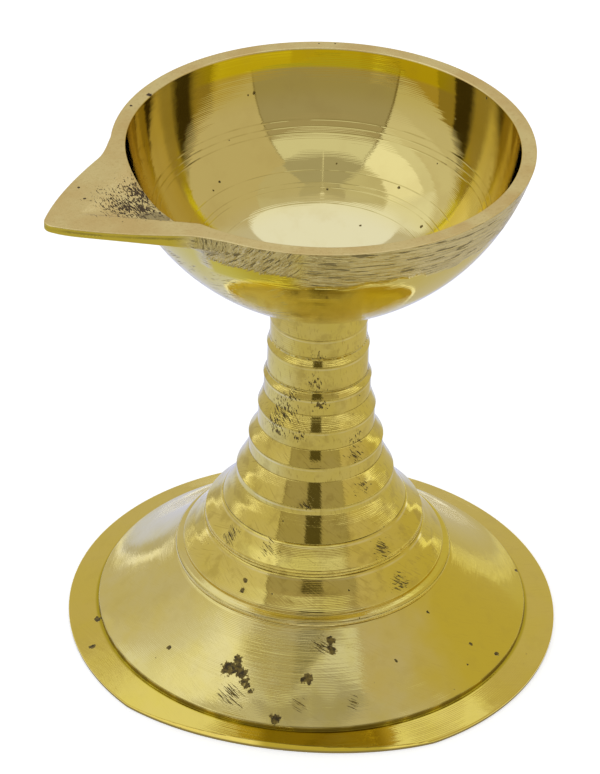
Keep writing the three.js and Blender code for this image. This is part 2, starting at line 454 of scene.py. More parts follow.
def lines(tree, place, measured, spots, width):
    # lines of one width at several heights or radii, all in millimetres
    away = 100.0
    for spot in spots:
        away = calc(tree, "MINIMUM", away, calc(tree, "ABSOLUTE", calc(tree, "SUBTRACT", measured, spot)))
    return use(tree, turnedLine, Place=place, Away_mm=away, Width_mm=width)["Line"]


def dress(tree, shader, color, roughness, normal, metallic=None):
    tree.links.new(color, shader.inputs["Base Color"])
    tree.links.new(roughness, shader.inputs["Roughness"])
    tree.links.new(normal, shader.inputs["Normal"])
    if metallic:
        tree.links.new(metallic, shader.inputs["Metallic"])


def noiseAt(tree, place, scale, detail=3.0, roughness=0.6):
    return put(tree, "TexNoise", Vector=place, Scale=scale, Detail=detail, Roughness=roughness).outputs[0]


def uneven(tree, place, scale, low=0.35, high=0.65):
    return ramp(tree, noiseAt(tree, place, scale), low, high)


def patchesOf(tree, place, noise, spots, raggedness, sparseness):
    # spots are (middle in millimetres from the lamp's axis, reach in millimetres)
    for middle, reach in spots:
        yield use(
            tree, localMarks, Place=place, Noise=noise, Middle=Vector(middle) * mm, Reach_mm=reach,
            Raggedness=raggedness, Sparseness=sparseness,
        )["Patch"]


def dirtOver(tree, place, color, dirtAndShade):
    # dirt of an uneven brown over the metal, and how metallic the whole is then
    brown = blend(tree, uneven(tree, place, 1800.0), finishAndPaintedLight["dirtAndShade"], finishAndPaintedLight["deepDirt"])
    return blend(tree, dirtAndShade, color, brown), inverse(tree, times(tree, dirtAndShade, 0.75))


# deep flaws of the casting, solid and ragged
pedestalFlaws = [
    # the heart-shaped one beside the filed edge
    ((-21.4, -12.8, 6.0), 1.0), ((-20.6, -13.5, 6.2), 1.0), ((-19.9, -13.0, 7.0), 0.75), ((-20.3, -14.6, 5.9), 1.0),
    ((-20.4, -15.7, 5.4), 0.62), ((-20.4, -16.4, 5.1), 0.5), ((-20.4, -17.2, 4.8), 0.48),
    # the rest of the skirt and the flange
    ((-19.3, -22.1, 2.9), 0.8), ((-13.4, -20.6, 6.4), 0.85), ((-8.7, -18.7, 9.8), 0.65), ((-9.1, -19.6, 8.9), 0.7),
    ((-28.8, 10.7, 1.7), 0.55), ((-32.1, 6.1, 1.1), 0.5), ((-25.6, -4.0, 5.3), 0.3), ((6.4, -19.8, 9.6), 0.35),
    ((-1.2, -23.9, 6.9), 0.28), ((11.1, -23.8, 5.0), 0.35), ((14.5, -25.4, 3.0), 0.4), ((28.1, -10.4, 2.6), 0.35),
    ((-15.9, -7.3, 13.6), 0.38), ((-15.2, -6.6, 14.7), 0.35),
]
# clusters of small specks, from the skirt up the stem
pedestalSpecks = [
    ((-15.8, -22.3, 4.3), 1.0), ((-10.0, -18.5, 9.5), 1.2), ((-9.4, -25.7, 4.2), 0.9), ((-23.0, -16.0, 4.4), 1.7),
    ((-7.3, -2.9, 37.6), 2.3), ((-7.8, -2.0, 35.4), 2.0), ((-6.5, -3.6, 40.2), 1.3), ((-6.2, -5.3, 34.6), 1.1),
    ((-4.2, -5.9, 42.7), 1.4), ((-3.8, -5.8, 46.8), 1.0), ((-3.6, -6.5, 39.6), 1.1), ((1.7, -8.5, 33.3), 1.3),
    ((1.0, -9.0, 31.6), 1.3), ((1.8, -10.3, 26.8), 1.3), ((-14.3, -1.2, 18.6), 1.3), ((-12.1, -7.5, 19.4), 1.3),
    ((2.3, -14.2, 18.4), 1.4), ((3.7, -16.9, 13.8), 1.5), ((-6.7, -8.5, 25.4), 1.0),
]
# heights of the rings' edges, with a painted shadow line at each edge and a painted highlight just below it, and of
# the creases above them, which are darkened
ringEdges = [49.38, 45.28, 40.28, 35.48, 30.38, 24.88, 20.18, 16.52]
ringCreases = [46.65, 41.55, 37.8, 32.65, 28.2, 17.02]


def makeTurnedBrass():
    material, tree, shader, place = newBrass("turned_brass")
    fine = use(tree, turningMarks, Place=place, Spacing_mm=0.32, Drift=1.3, Lean=-1.0, Evenness=0.8)["Height"]
    coarse = use(tree, turningMarks, Place=place, Spacing_mm=0.95, Drift=1.0, Lean=-1.0, Evenness=0.0)["Height"]
    ragged = noiseAt(tree, place, 1500.0)
    speckle = use(tree, fileMarks, Place=place, Along_mm=0.3, Up_mm=0.75, Slant=0.5)["Height"]
    flaws = largest(tree, patchesOf(tree, place, ragged, pedestalFlaws, 2.6, 0.0))
    specks = largest(tree, patchesOf(tree, place, speckle, pedestalSpecks, 7.0, 0.65))
    small = use(tree, castingPits, Place=place, Apart_mm=1.3, Share=0.1, Reach=0.09)["Pits"]
    pits = largest(tree, [flaws, specks, small])
    apart, radius = radiusOf(tree, place)
    high = times(tree, apart[2], 1000.0)
    # painted shadow lines at the rings' edges; the creases above them and the skirt's foot are darkened too
    shadowLinesAndCreases = lines(tree, place, high, ringEdges, 0.15)
    shadowLinesAndCreases = either(tree, shadowLinesAndCreases, lines(tree, place, high, ringCreases, 0.08))
    foot = lines(tree, place, times(tree, radius, 1000.0), [30.22], 0.14)
    shadowLinesAndCreases = either(tree, shadowLinesAndCreases, foot)
    # painted highlights: a pale line just below each ring's edge
    wearAndHighlight = lines(tree, place, plus(tree, high, 0.36), ringEdges, 0.2)
    skirt = ramp(tree, apart[2], 0.0135, 0.0120)
    flange = ramp(tree, apart[2], 0.0026, 0.0019)
    hatch = use(tree, fileMarks, Place=place, Along_mm=0.28, Up_mm=3.2, Slant=0.35, Nicks_from=0.66)
    hatched = times(tree, ramp(tree, noiseAt(tree, place, 75.0), 0.52, 0.6), skirt)
    scuffs = use(tree, fileMarks, Place=place, Along_mm=0.4, Up_mm=1.5, Slant=0.45)["Height"]
    # painted more golden on the side away from the spout
    side = plus(tree, apart[0], times(tree, noiseAt(tree, place, 90.0), 0.02))
    golden = ramp(tree, side, 0.006, 0.021)
    tone = blend(tree, skirt, finishAndPaintedLight["stemBrass"], finishAndPaintedLight["skirtBrass"])
    tone = blend(tree, golden, tone, finishAndPaintedLight["goldenBrass"])
    tone = blend(tree, flange, tone, finishAndPaintedLight["flangeBrass"])
    tone = blend(tree, times(tree, uneven(tree, place, 170.0), 0.3), tone, finishAndPaintedLight["goldenBrass"])
    stained = times(tree, ramp(tree, noiseAt(tree, place, 380.0, 5.0), 0.5, 0.66), 0.5)
    stained = either(tree, stained, times(tree, ramp(tree, scuffs, 0.54, 0.68), 0.55))
    stained = times(tree, stained, inverse(tree, times(tree, skirt, 0.8)))
    tone = blend(tree, stained, tone, finishAndPaintedLight["scuffed"])
    # painted reflection: a yellow strip on the flange by the skirt
    ledge = times(tree, flange, ramp(tree, radius, 0.0308, 0.0304))
    tone = blend(tree, times(tree, ledge, 0.85), tone, finishAndPaintedLight["ledge"])
    # painted reflection in brown on the flange in front, and dark along the flange's edge
    facing = calc(tree, "DIVIDE", alongLine(tree, place, finishAndPaintedLight["frontLine"]), radius)
    front = ramp(tree, facing, 0.955, 0.975)
    tone = blend(tree, times(tree, times(tree, front, flange), 0.8), tone, finishAndPaintedLight["brownFront"])
    tone = blend(tree, ramp(tree, apart[2], 0.00055, 0.0003), tone, finishAndPaintedLight["flangeEdge"])
    # painted highlight below each ring's edge
    tone = blend(tree, times(tree, wearAndHighlight, 0.6), tone, finishAndPaintedLight["underEdgeHighlight"])
    # painted shadow lines at the rings' edges, and darker creases and skirt foot
    tone = blend(tree, times(tree, shadowLinesAndCreases, 0.8), tone, finishAndPaintedLight["dirtAndShade"])
    color, metallic = dirtOver(tree, place, tone, pits)
    # stronger turning marks on the skirt, round the same front
    streaked = ramp(tree, facing, 0.7, 0.9, -0.1, 1.4)
    rough = plus(tree, 0.05, times(tree, uneven(tree, place, 300.0), 0.05))
    rough = plus(tree, rough, times(tree, largest(tree, [pits, shadowLinesAndCreases]), 0.4))
    normal = bumps(
        tree,
        (coarse, 0.010),
        (times(tree, fine, plus(tree, 0.5, times(tree, skirt, streaked))), 0.006),
        (times(tree, hatch["Height"], hatched), 0.012),
        (scuffs, 0.008),
        (inverse(tree, pits), 0.06),
        (inverse(tree, shadowLinesAndCreases), 0.03),
    )
    dress(tree, shader, color, rough, normal, metallic)
    return material


def makeCoredBrass():
    # the hollow under the foot, as it left the sand core
    material, tree, shader, place = newBrass("cored_brass")
    grain = noiseAt(tree, place, 900.0, 4.0, 0.7)
    lumps = noiseAt(tree, place, 160.0, 2.0)
    pits = use(tree, castingPits, Place=place, Apart_mm=1.2, Share=0.5, Reach=0.2)["Pits"]
    tone = blend(tree, ramp(tree, lumps, 0.35, 0.65), finishAndPaintedLight["core"], finishAndPaintedLight["coreShade"])
    color, metallic = dirtOver(tree, place, tone, pits)
    rough = ramp(tree, grain, 0.3, 0.7, 0.42, 0.62)
    normal = bumps(tree, (lumps, 0.25), (grain, 0.06), (inverse(tree, pits), 0.08))
    dress(tree, shader, color, rough, normal, metallic)
    return material


liningPits = [
    ((7.4, 23.8, 72.3), 0.16), ((3.8, 24.0, 70.7), 0.24), ((2.9, 24.1, 70.6), 0.12), ((-1.4, 21.7, 65.9), 0.16),
    ((-5.1, 18.1, 62.3), 0.18), ((-6.6, 17.1, 61.9), 0.14), ((11.5, 14.6, 62.2), 0.14), ((8.9, 12.7, 59.8), 0.18),
    ((20.8, 3.8, 65.0), 0.14), ((16.3, 6.3, 61.2), 0.19), ((9.7, 5.4, 57.6), 0.16), ((15.0, -1.5, 59.5), 0.22),
    ((25.8, 0.2, 75.5), 0.18), ((23.9, 4.5, 70.8), 0.16),
]
# radii of the rings that the turning left in the lining
liningLines = [16.4, 15.8, 17.8, 21.4, 21.9, 22.4, 13.6]


def makeLining():
    material, tree, shader, place = newBrass("bowl_lining")
    fine = use(tree, turningMarks, Place=place, Spacing_mm=0.3, Drift=1.3, Lean=1.0, Evenness=0.3)["Height"]
    coarse = use(tree, turningMarks, Place=place, Spacing_mm=1.3, Drift=0.8, Lean=1.0, Evenness=0.0)["Height"]
    apart, radius = radiusOf(tree, place)
    scored = lines(tree, place, times(tree, radius, 1000.0), liningLines, 0.09)
    pits = largest(tree, patchesOf(tree, place, noiseAt(tree, place, 1500.0), liningPits, 3.0, 0.0))
    height = apart[2]
    # from 1 at the camera's bearing to -1 opposite to it
    ahead = calc(tree, "DIVIDE", alongLine(tree, place, finishAndPaintedLight["liningLine"]), radius)
    # painted reflections: a yellow band under the rim, opposite the camera's bearing, and a yellower band from 68 mm
    # up
    upper = times(tree, ramp(tree, height, 0.0732, 0.0738), ramp(tree, ahead, -0.68, -0.80))
    middle = ramp(tree, height, 0.0680, 0.0715)
    lower = ramp(tree, height, 0.0600, 0.0575)
    tone = blend(tree, middle, finishAndPaintedLight["liningBrass"], finishAndPaintedLight["goldLining"])
    tone = blend(tree, upper, tone, finishAndPaintedLight["brightBrass"])
    tone = blend(tree, lower, tone, finishAndPaintedLight["floorBrass"])
    stained = times(tree, ramp(tree, noiseAt(tree, place, 140.0, 4.0), 0.5, 0.75), 0.3)
    tone = blend(tree, stained, tone, finishAndPaintedLight["liningStain"])
    tone = blend(tree, times(tree, scored, 0.55), tone, finishAndPaintedLight["liningScore"])
    color, metallic = dirtOver(tree, place, tone, pits)
    rough = plus(tree, 0.035, times(tree, pits, 0.4))
    rough = plus(tree, rough, times(tree, uneven(tree, place, 220.0), 0.025))
    wearAndHighlight = ramp(tree, height, 0.0568, 0.0600, 0.25, 1.0)
    normal = bumps(
        tree, (times(tree, coarse, wearAndHighlight), 0.014), (times(tree, fine, wearAndHighlight), 0.004),
        (inverse(tree, scored), 0.012),
        (inverse(tree, pits), 0.05),
    )
    dress(tree, shader, color, rough, normal, metallic)
    return material


rimNicks = [
    ((-13.5, 22.4, 76.0), 0.4), ((-17.0, 21.0, 76.0), 0.25), ((15.7, 22.4, 76.0), 0.15), ((13.8, 23.5, 76.0), 0.15),
    ((-33.8, 2.9, 76.0), 0.25), ((-33.2, 5.7, 76.0), 0.2),
]

# the channel as cast: short dark strokes, and the darkest place
channelMarks = [((-27.4, -0.6, 74.7), 3.6), ((-29.5, 0.2, 75.0), 3.2), ((-26.5, 2.2, 74.8), 2.6)]
channelCore = [((-26.6, -2.9, 74.3), 1.7), ((-28.2, -2.6, 74.6), 1.1)]


def makeFacedRim():
    # the rim and the spout's top, faced off in a lathe and left satin, and the rough casting in the channel
    material, tree, shader, place = newBrass("faced_rim")
    fine = use(tree, turningMarks, Place=place, Spacing_mm=0.2, Drift=2.5, Lean=1.0, Evenness=0.2)["Height"]
    brushed = noiseAt(tree, place, 2400.0, 2.0)
    # short dark strokes where the channel was left as cast
    stroke = put(tree, "Mapping", Vector=place, Rotation=(0, 0, 0.06), Scale=(4600, 1900, 2600)).outputs[0]
    strokes = noiseAt(tree, stroke, 1.0, 2.0)
    cast = largest(tree, patchesOf(tree, place, strokes, channelMarks, 6.0, 0.5))
    core = largest(tree, patchesOf(tree, place, noiseAt(tree, place, 700.0, 2.0), channelCore, 1.4, 0.0))
    patch = either(tree, cast, times(tree, core, 0.5))
    ragged = noiseAt(tree, place, 1500.0)
    nicks = largest(tree, patchesOf(tree, place, ragged, rimNicks, 2.0, 0.0))
    nicks = either(tree, nicks, patch)
    tone = blend(tree, uneven(tree, place, 120.0), finishAndPaintedLight["rimBrass"], finishAndPaintedLight["rimShade"])
    tone = blend(tree, times(tree, ramp(tree, brushed, 0.5, 0.7), 0.25), tone, finishAndPaintedLight["rimBrushed"])
    color = blend(tree, nicks, tone, finishAndPaintedLight["rimNick"])
    roughness = plus(tree, 0.24, times(tree, nicks, 0.3))
    normal = bumps(tree, (fine, 0.012), (brushed, 0.004), (inverse(tree, nicks), 0.12))
    metallic = inverse(tree, times(tree, nicks, 0.5))
    dress(tree, shader, color, roughness, normal, metallic)
    return material


def makeFiledBrass():
    # outside of the bowl: file strokes under the rim, chatter beside the spout, plain polish lower down
    material, tree, shader, place = newBrass("filed_brass")
    level = use(tree, fileMarks, Place=place, Along_mm=6.0, Up_mm=0.4, Slant=0.05, Nicks_from=0.575)
    steep = use(tree, fileMarks, Place=place, Along_mm=0.55, Up_mm=1.5, Slant=0.0, Nicks_from=0.57)
    fine = use(tree, turningMarks, Place=place, Spacing_mm=0.3, Drift=1.6, Lean=1.0, Evenness=0.3)["Height"]
    apart = put(tree, "SeparateXYZ", Vector=place).outputs
    bearing = calc(tree, "ARCTAN2", apart[1], apart[0])
    # the file went deeper in front
    wander = times(tree, noiseAt(tree, place, 150.0, 4.0), 0.004)
    border = ramp(tree, bearing, -0.9, -0.3, 0.0, 0.004)
    band = ramp(tree, calc(tree, "SUBTRACT", plus(tree, apart[2], wander), border), 0.0714, 0.0722)
    # the chatter lies beside the spout, on the side that was filed, over a strip painted for a reflection
    beside = times(tree, ramp(tree, bearing, -2.74, -2.68), ramp(tree, bearing, -2.16, -2.30))
    ragged = times(tree, steep["Height"], 0.002)
    chatter = times(tree, beside, ramp(tree, plus(tree, apart[2], ragged), 0.0724, 0.0729))
    # painted reflection on a strip under the chatter
    reflectionStrip = times(tree, beside, ramp(tree, apart[2], 0.0686, 0.0694))
    flank = ramp(tree, calc(tree, "ABSOLUTE", bearing), 2.70, 2.80)
    strokes = times(tree, band, inverse(tree, either(tree, beside, flank)))
    lower = times(tree, ramp(tree, noiseAt(tree, place, 120.0), 0.46, 0.52), ramp(tree, apart[2], 0.0690, 0.0680))
    stray = times(tree, steep["Nicks"], times(tree, lower, ramp(tree, bearing, -2.25, -2.4)))
    # darker along a line just under the rim's outer edge, on the spout's flanks
    shoulder = lines(tree, place, times(tree, apart[2], 1000.0), [75.55], 0.3)
    nicks = largest(tree, [
        times(tree, level["Nicks"], strokes),
        times(tree, steep["Nicks"], chatter),
        times(tree, stray, 0.9),
        times(tree, times(tree, shoulder, flank), 0.7),
    ])
    worked = either(tree, strokes, chatter)
    tone = blend(tree, times(tree, uneven(tree, place, 90.0), 0.4), finishAndPaintedLight["outerBrass"], finishAndPaintedLight["goldenBrass"])
    # painted reflection on the strip under the chatter, and the same tone on the spout's flanks
    tone = blend(tree, either(tree, times(tree, flank, 0.6), reflectionStrip), tone, finishAndPaintedLight["reflectionStripAndFlank"])
    tone = blend(tree, times(tree, worked, 0.85), tone, finishAndPaintedLight["filed"])
    grooves = times(tree, ramp(tree, level["Height"], 0.48, 0.62), strokes)
    grooves = either(tree, grooves, times(tree, ramp(tree, steep["Height"], 0.45, 0.62), chatter))
    tone = blend(tree, times(tree, grooves, 0.6), tone, finishAndPaintedLight["filedGroove"])
    color, metallic = dirtOver(tree, place, tone, times(tree, nicks, 0.7))
    rough = plus(tree, ramp(tree, worked, 0.0, 1.0, 0.06, 0.16), times(tree, nicks, 0.3))
    normal = bumps(
        tree, (fine, 0.010),
        (times(tree, level["Height"], strokes), 0.26),
        (times(tree, steep["Height"], chatter), 0.6),
        (inverse(tree, nicks), 0.06),
    )
    dress(tree, shader, color, rough, normal, metallic)
    return material


def makeCutThread():
    material, tree, shader, place = newBrass("cut_thread")
    fine = use(tree, turningMarks, Place=place, Spacing_mm=0.12, Drift=3.0, Lean=1.0, Evenness=0.0)["Height"]
    apart, radius = radiusOf(tree, place)
    deep = ramp(tree, radius, 0.00375, 0.0034)
    color = blend(tree, times(tree, deep, 0.7), finishAndPaintedLight["stemBrass"], finishAndPaintedLight["threadRoot"])
    dress(tree, shader, color, ramp(tree, deep, 0.0, 1.0, 0.2, 0.4), bumps(tree, (fine, 0.008)))
    return material


turnedBrass = makeTurnedBrass()
coredBrass = makeCoredBrass()
bowlLining = makeLining()
facedRim = makeFacedRim()
filedBrass = makeFiledBrass()
cutThread = makeCutThread()
print("finishes made")

# Pedestal

pedestalShape = {
    "steps": 256,
    "flangeWidth": 4.3,
    "flangeHeight": 1.85,
    "flangeEdge": 0.6,
    "skirtFoot": 2.45,
    "beadRadius": 19.3,
    "beadFoot": 11.15,
    "beadTop": 12.1,
    "collarRadius": 18.2,
    "collarTop": 12.75,
    "rings": [  # from the collar up: bead height, flare height and taper, straight height, edge radius
        (0, 3.6, 2.88, 0.2, 15.2),
        (0.95, 2.5, 2.35, 0.2, 12.7),
        (0, 3.75, 1.85, 0.95, 10.9),
        (0, 3.3, 1.65, 2.2, 9.3),
        (0, 2.2, 1.28, 2.9, 8.1),
        (0, 2.3, 0.78, 2.5, 7.4),
        (0, 1.25, 0.48, 3.75, 7.0),
        (0, 1.35, 0.4, 2.75, 6.7),
    ],
    "core": [  # the hollow from its mouth up: radius, height and softness
        (17.2, 10.15, 0.8),
        (12.9, 15.55, 0.6),
        (10.4, 19.2, 0.6),
        (8.6, 23.9, 0.6),
        (7.0, 29.4, 0.6),
        (5.8, 34.5, 0.6),
        (5.05, 38.0, 0.6),
        (0, 39.5, 0),
    ],
    "lip": 0.12,
    "neckRadius": 6.55,
    "holeRadius": 4.08,
    "holeFoot": 44.0,
    "filedDepth": 2.1,
    "filedBearing": 229.5,
    "filedReach": 38.0,
}


def pedestalOutline(shape):
    skirtRadius = footRadius - shape["flangeWidth"]
    beadRadius, beadFoot, beadTop = shape["beadRadius"], shape["beadFoot"], shape["beadTop"]
    skirt = curvePoints(
        (skirtRadius, shape["skirtFoot"]),
        (skirtRadius - 3.15, shape["skirtFoot"] + 1.6),
        (beadRadius + 3.15, beadFoot - 3.15),
        (beadRadius - shape["lip"], beadFoot),
        24,
    )
    corners = [
        (0, shape["holeFoot"], 0),
        (shape["holeRadius"], shape["holeFoot"], 0),
        (shape["holeRadius"], seatHeight - 0.5, 0),
        (shape["holeRadius"] + 0.5, seatHeight, 0),
        (shape["neckRadius"], seatHeight, 0.08),
    ]
    stem = []
    radius, height = shape["collarRadius"], shape["collarTop"]
    for bead, band, taper, run, edge in shape["rings"]:
        if bead:  # with a fine line round its middle
            stem += [
                (radius, height + bead * 0.4, 0.05),
                (radius - 0.06, height + bead * 0.48, 0.03),
                (radius, height + bead * 0.56, 0.05),
                (radius, height + bead, 0.12),
            ]
            height += bead
        # the flare is a little hollow
        stem += [
            (radius - taper * 0.55, height + band * 0.5, 0.3),
            (radius - taper, height + band, 0.12 if run > 0.5 else 0.06),
        ]
        height += band + run
        radius = edge
        stem += [(radius - shape["lip"], height, 0.04), (radius, height, 0.05)]
    corners += reversed(stem)
    corners += [
        (shape["collarRadius"], shape["collarTop"], 0.08),
        (shape["collarRadius"], beadTop + 0.1, 0.05),
        (beadRadius - 0.25, beadTop - 0.12, 0.16),
        (beadRadius, beadTop - 0.45, 0.12),
        (beadRadius, beadFoot, 0.15),
    ]
    corners += [(r, z, 0) for r, z in reversed(skirt[1:])]
    corners += [
        (skirtRadius, shape["skirtFoot"], 0.12),
        (skirtRadius + 0.04, shape["flangeHeight"] - 0.1, 0.1),
        (skirtRadius + 0.45, shape["flangeHeight"] - 0.14, 0.1),
        (footRadius, shape["flangeEdge"], 0.1),
        (footRadius, 0, 0.12),
        (skirtRadius - 0.8, 0, 0.3),
        *shape["core"],
    ]
    return stretched(softOutline(corners, 3), 1.2)


def fileFlange(mesh, shape):
    # the flange is narrower and its edge thicker where it was filed back
    skirtRadius = footRadius - shape["flangeWidth"]
    slope = (shape["flangeHeight"] - shape["flangeEdge"]) / shape["flangeWidth"]
    for point in mesh.verts:
        radius = math.hypot(point.co.x, point.co.y) / mm
        share = (radius - skirtRadius) / shape["flangeWidth"]
        bearing = math.degrees(math.atan2(point.co.y, point.co.x)) % 360
        away = min(abs(bearing - shape["filedBearing"]) / shape["filedReach"], 1)
        cut = shape["filedDepth"] * math.cos(away * math.pi / 2)
        if share <= 0 or cut <= 0 or point.co.z > 3 * mm:
            continue
        if point.co.z > 0.3 * mm:
            point.co.z += cut * slope * share * mm
        point.co.x *= (radius - cut * share) / radius
        point.co.y *= (radius - cut * share) / radius


pedestalMesh = turn(pedestalOutline(pedestalShape), pedestalShape["steps"])
fileFlange(pedestalMesh, pedestalShape)
for face in pedestalMesh.faces:
    # the hollow is whatever faces down or towards the axis below the stud's hole
    middle = face.calc_center_median()
    inward = face.normal.x * middle.x + face.normal.y * middle.y
    face.material_index = int(middle.z < 0.042 and (inward < 0 or face.normal.z < -0.9) and middle.z > 0.0001)
finishPiece(pedestalMesh, "pedestal_turned", "pedestal", "pedestal", [turnedBrass, coredBrass])

# Bowl and spout

bowlShape = {
    "steps": 440,
    "crowding": 0.72,  # how closely the steps gather at the spout
    "seatRadius": 6.9,
    "rimWall": 2.0,
    "floor": 55.9,
    "seatPull": (11.0, 4.95),  # pulls on the outside curve, out and up from the seat
    "rimPull": (3.1, 11.0),  # in and down from the rim
    "floorPull": 16.3,  # pulls on the lining's curve, out from the middle
    "liningPull": (4.4, 11.2),  # in and down from the rim
    "holeRadius": 4.08,
    "holeTop": 54.7,
    "edge": 0.16,  # softness of the rim's edges
    "spoutBand": 6.5,  # the spout grows out of this much of the wall
    "channelReach": 36.0,
    "channelHalfWidth": 8.1,
    "channelDepth": 1.95,
}

spoutPlan = {
    "rimBearing": 36.0,
    "root": (27.6, 11.0),
    "rootAngle": 30.0,
    "noseAngle": 48.0,
    "noseRadius": 1.6,
    "edge": 0.55,
    "keelNose": 1.9,
    "keelRoot": 12.0,
    "keelDepth": 0.25,
    "fillet": 0.9,
}


def lineCrossing(first, firstAngle, second, secondAngle):
    c1, s1 = math.cos(math.radians(firstAngle)), math.sin(math.radians(firstAngle))
    c2, s2 = math.cos(math.radians(secondAngle)), math.sin(math.radians(secondAngle))
    along = ((second[0] - first[0]) * s2 - (second[1] - first[1]) * c2) / (c1 * s2 - s1 * c2)
    return first[0] + along * c1, first[1] + along * s1


def bentPoints(start, corner, end, count=24):
    # a quadratic bend, raised to the cubic that Blender's helper wants
    pulls = [tuple(a + (b - a) * 2 / 3 for a, b in zip(point, corner)) for point in (start, end)]
    return curvePoints(start, *pulls, end, count)


def spoutRadii(plan):
    # the plan's edge as [angle from the spout, radius], from the nose round to the rim
    rimAngle = math.radians(plan["rimBearing"])
    onRim = (rimRadius * math.cos(rimAngle), rimRadius * math.sin(rimAngle))
    noseAngle = math.radians(plan["noseAngle"])
    centre = spoutReach - plan["noseRadius"]
    nose = (centre + plan["noseRadius"] * math.sin(noseAngle), plan["noseRadius"] * math.cos(noseAngle))
    bend = lineCrossing(onRim, plan["rimBearing"] - 90, plan["root"], -plan["rootAngle"])
    belly = lineCrossing(plan["root"], -plan["rootAngle"], nose, -plan["noseAngle"])
    arc = [
        (centre + plan["noseRadius"] * math.cos(turned), plan["noseRadius"] * math.sin(turned))
        for turned in (i / 12 * (math.pi / 2 - noseAngle) for i in range(12))
    ]
    edge = arc + bentPoints(nose, belly, plan["root"]) + bentPoints(plan["root"], bend, onRim)[1:]
    return [(math.atan2(y, x), math.hypot(x, y)) for x, y in edge]


def between(table, key):
    # straight-line reading of a table sorted by its first column
    index = bisect_left(table, (key,))
    if index == 0:
        return table[0][1]
    if index == len(table):
        return table[-1][1]
    (k0, v0), (k1, v1) = table[index - 1], table[index]
    return v0 + (v1 - v0) * (key - k0) / (k1 - k0)


def smoothStep(low, high, value):
    share = min(max((value - low) / (high - low), 0), 1)
    return share * share * (3 - 2 * share)


planEdge = spoutRadii(spoutPlan)
outsideWall = curvePoints(
    (bowlShape["seatRadius"], seatHeight),
    (bowlShape["seatRadius"] + bowlShape["seatPull"][0], seatHeight + bowlShape["seatPull"][1]),
    (rimRadius - bowlShape["rimPull"][0], rimHeight - bowlShape["rimPull"][1]),
    (rimRadius, rimHeight),
    200,
)
insideWall = curvePoints(
    (0, bowlShape["floor"]),
    (bowlShape["floorPull"], bowlShape["floor"]),
    (rimRadius - bowlShape["liningPull"][0], rimHeight - bowlShape["liningPull"][1]),
    (rimRadius - bowlShape["rimWall"], rimHeight),
    200,
)
outsideRadius = [(height, radius) for radius, height in outsideWall]
insideRadius = [(height, radius) for radius, height in insideWall[1:]]


def keelRadius(plan, depth, angle):
    # how far out the rounded underside lies at this depth below the rim
    slope = (plan["keelRoot"] - plan["keelNose"]) / (spoutReach - plan["root"][0])
    heel = plan["keelRoot"] + slope * plan["root"][0]
    sag = max(depth - plan["edge"], 0) / plan["keelDepth"]
    a = (slope * math.cos(angle)) ** 2 - math.sin(angle) ** 2
    b = heel * slope * math.cos(angle)
    c = heel ** 2 - sag ** 2
    if b * b - a * c < 0 or c <= 0:
        return 0
    return c / (b + math.sqrt(b * b - a * c))


def spoutedRadius(height, angle):
    # radius of the bowl's outside, spout included, with a fillet where the two meet
    depth = rimHeight - height
    wall = between(outsideRadius, height)
    share = 1 - smoothStep(math.radians(30), math.radians(spoutPlan["rimBearing"]), abs(angle))
    if share == 0:
        return wall
    spout = min(between(planEdge, abs(angle)), keelRadius(spoutPlan, depth, angle))
    fillet = spoutPlan["fillet"] * smoothStep(0, 2, depth)
    gap = spout - wall
    if fillet and abs(gap) < 2 * fillet:
        blended = wall + (gap + 2 * fillet) ** 2 / (8 * fillet)
    else:
        blended = max(wall, spout)
    return wall + (blended - wall) * share


def channelDrop(along, across):
    # depth of the wick channel below the rim: a steep near side, and a far side that fades out
    shape = bowlShape
    cavity = rimRadius - shape["rimWall"]
    share = (shape["channelReach"] - along) / (shape["channelReach"] - cavity)
    if share <= 0 or along < cavity * 0.85:
        return 0
    side = across / (shape["channelHalfWidth"] * share)
    steep = smoothStep(-1.02, -0.8, side)
    faded = 1 - smoothStep(-0.25, 1.05, side)
    return shape["channelDepth"] * share * steep * faded


def bowlOutline(shape):
    cavity = rimRadius - shape["rimWall"]
    inside = [point for point in insideWall[::4] if point[1] < rimHeight - 0.6]
    rim = softOutline([
        (between(insideRadius, rimHeight - 0.6), rimHeight - 0.6, 0),
        (cavity, rimHeight, shape["edge"]),
        (rimRadius, rimHeight, shape["edge"]),
        (between(outsideRadius, rimHeight - 0.45), rimHeight - 0.45, 0),
    ])
    rim = stretched(rim, shape["rimWall"] / 36)
    depths = [0.6 + (shape["spoutBand"] - 0.6) * (i / 32) ** 1.2 for i in range(33)]
    outside = [(between(outsideRadius, rimHeight - depth), rimHeight - depth) for depth in depths]
    outside += [point for point in outsideWall[::-5] if point[1] < rimHeight - shape["spoutBand"] - 0.3]
    seat = softOutline([
        (shape["seatRadius"] + 0.3, seatHeight + 0.15, 0),
        (shape["seatRadius"], seatHeight, 0.06),
        (shape["holeRadius"], seatHeight, 0),
        (shape["holeRadius"], shape["holeTop"], 0),
    ])
    return [*inside, *rim, *outside[:-1], *seat, (0, shape["holeTop"])]


